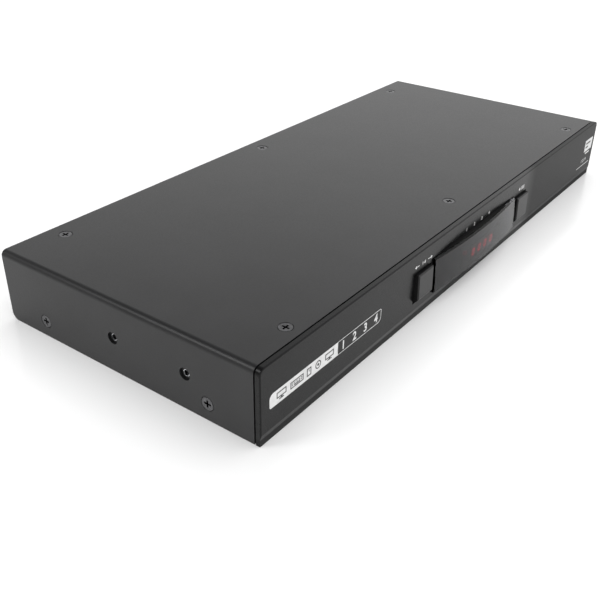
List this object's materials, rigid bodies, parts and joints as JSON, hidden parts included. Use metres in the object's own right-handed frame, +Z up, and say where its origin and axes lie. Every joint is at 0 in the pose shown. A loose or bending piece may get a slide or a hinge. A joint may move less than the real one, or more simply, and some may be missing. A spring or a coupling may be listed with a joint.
{
  "type": "kvm switch",
  "caption": "One-unit rack or desktop switch box: bent steel cover, moulded bezel with two keys and a bowed smoked display window, rear ports.",
  "frame": {"origin": "centre of the chassis underside", "axes": "+X along the width, to the right seen from the front; +Y from the front bezel to the rear panel; +Z up"},
  "size_m": [0.432, 0.1964, 0.044],
  "materials": {
    "painted_steel": "fine satin black powder coat",
    "black_screw": "black zinc countersunk screws",
    "plated_steel": "bright zinc plate",
    "bezel_plastic": "semi-gloss black moulding",
    "smoked_window": "glossy smoked acrylic",
    "black_housing": "matt black moulding",
    "key_plastic": "satin charcoal moulding",
    "switch_plastic": "black nylon",
    "board_green": "solder mask",
    "digit_block": "black epoxy face",
    "lamp_red": "tinted epoxy",
    "ribbon_grey": "flexible PVC",
    "port_metal": "nickel-plated screening shell",
    "jack_plastic": "black nylon with a plated nose",
    "chip_black": "moulded epoxy",
    "fin_aluminium": "extruded fins",
    "capacitor_sleeve": "shrink sleeve",
    "crystal_can": "pressed can"
  },
  "bodies": {
    "enclosure": {"base_chassis": "painted_steel", "bezel_screws": "plated_steel", "clock_crystals": "crystal_can", "computer_audio_jack_1": "jack_plastic", "computer_audio_jack_2": "jack_plastic", "computer_audio_jack_3": "jack_plastic", "computer_audio_jack_4": "jack_plastic", "computer_usb_port_1": "port_metal", "computer_usb_port_2": "port_metal", "computer_usb_port_3": "port_metal", "computer_usb_port_4": "port_metal", "computer_video_port_1": "port_metal", "computer_video_port_2": "port_metal", "computer_video_port_3": "port_metal", "computer_video_port_4": "port_metal", "console_audio_jack": "jack_plastic", "console_usb_stack_1": "port_metal", "console_usb_stack_2": "port_metal", "console_video_port": "port_metal", "controller_chip": "chip_black", "digit_1": "digit_block", "digit_2": "digit_block", "digit_3": "digit_block", "digit_4": "digit_block", "display_housing": "black_housing", "display_window": "smoked_window", "front_bezel": "bezel_plastic", "front_board": "board_green", "front_board_screws": "plated_steel", "front_header": "switch_plastic", "heat_sink": "fin_aluminium", "lid_nuts": "plated_steel", "lid_screws": "black_screw", "main_board": "board_green", "main_board_screws": "plated_steel", "main_header": "switch_plastic", "mode_switch": "switch_plastic", "module_screws": "plated_steel", "power_capacitors": "capacitor_sleeve", "power_inductor": "chip_black", "power_inlet": "switch_plastic", "rack_ear_nuts": "plated_steel", "ribbon_cable": "ribbon_grey", "select_switch": "switch_plastic", "service_port": "switch_plastic", "side_nuts": "plated_steel", "side_screws": "black_screw", "standoffs": "plated_steel", "status_lamp": "lamp_red", "top_cover": "painted_steel", "usb_hub_chips": "chip_black", "video_matrix_chip": "chip_black", "video_port_posts": "plated_steel", "video_receiver_chips": "chip_black", "voltage_regulator": "chip_black"},
    "select_button": {"select_key": "key_plastic", "select_plunger": "switch_plastic"},
    "mode_button": {"mode_key": "key_plastic", "mode_plunger": "switch_plastic"}
  },
  "joints": [
    {"name": "select_press", "type": "slide", "parent": "enclosure", "child": "select_button", "axis": [0, 1, 0], "range_m": [0, 0.0008], "stiffness_N_per_m": 2000, "springref_m": -0.0005},
    {"name": "mode_press", "type": "slide", "parent": "enclosure", "child": "mode_button", "axis": [0, 1, 0], "range_m": [0, 0.0008], "stiffness_N_per_m": 2000, "springref_m": -0.0005}
  ]
}
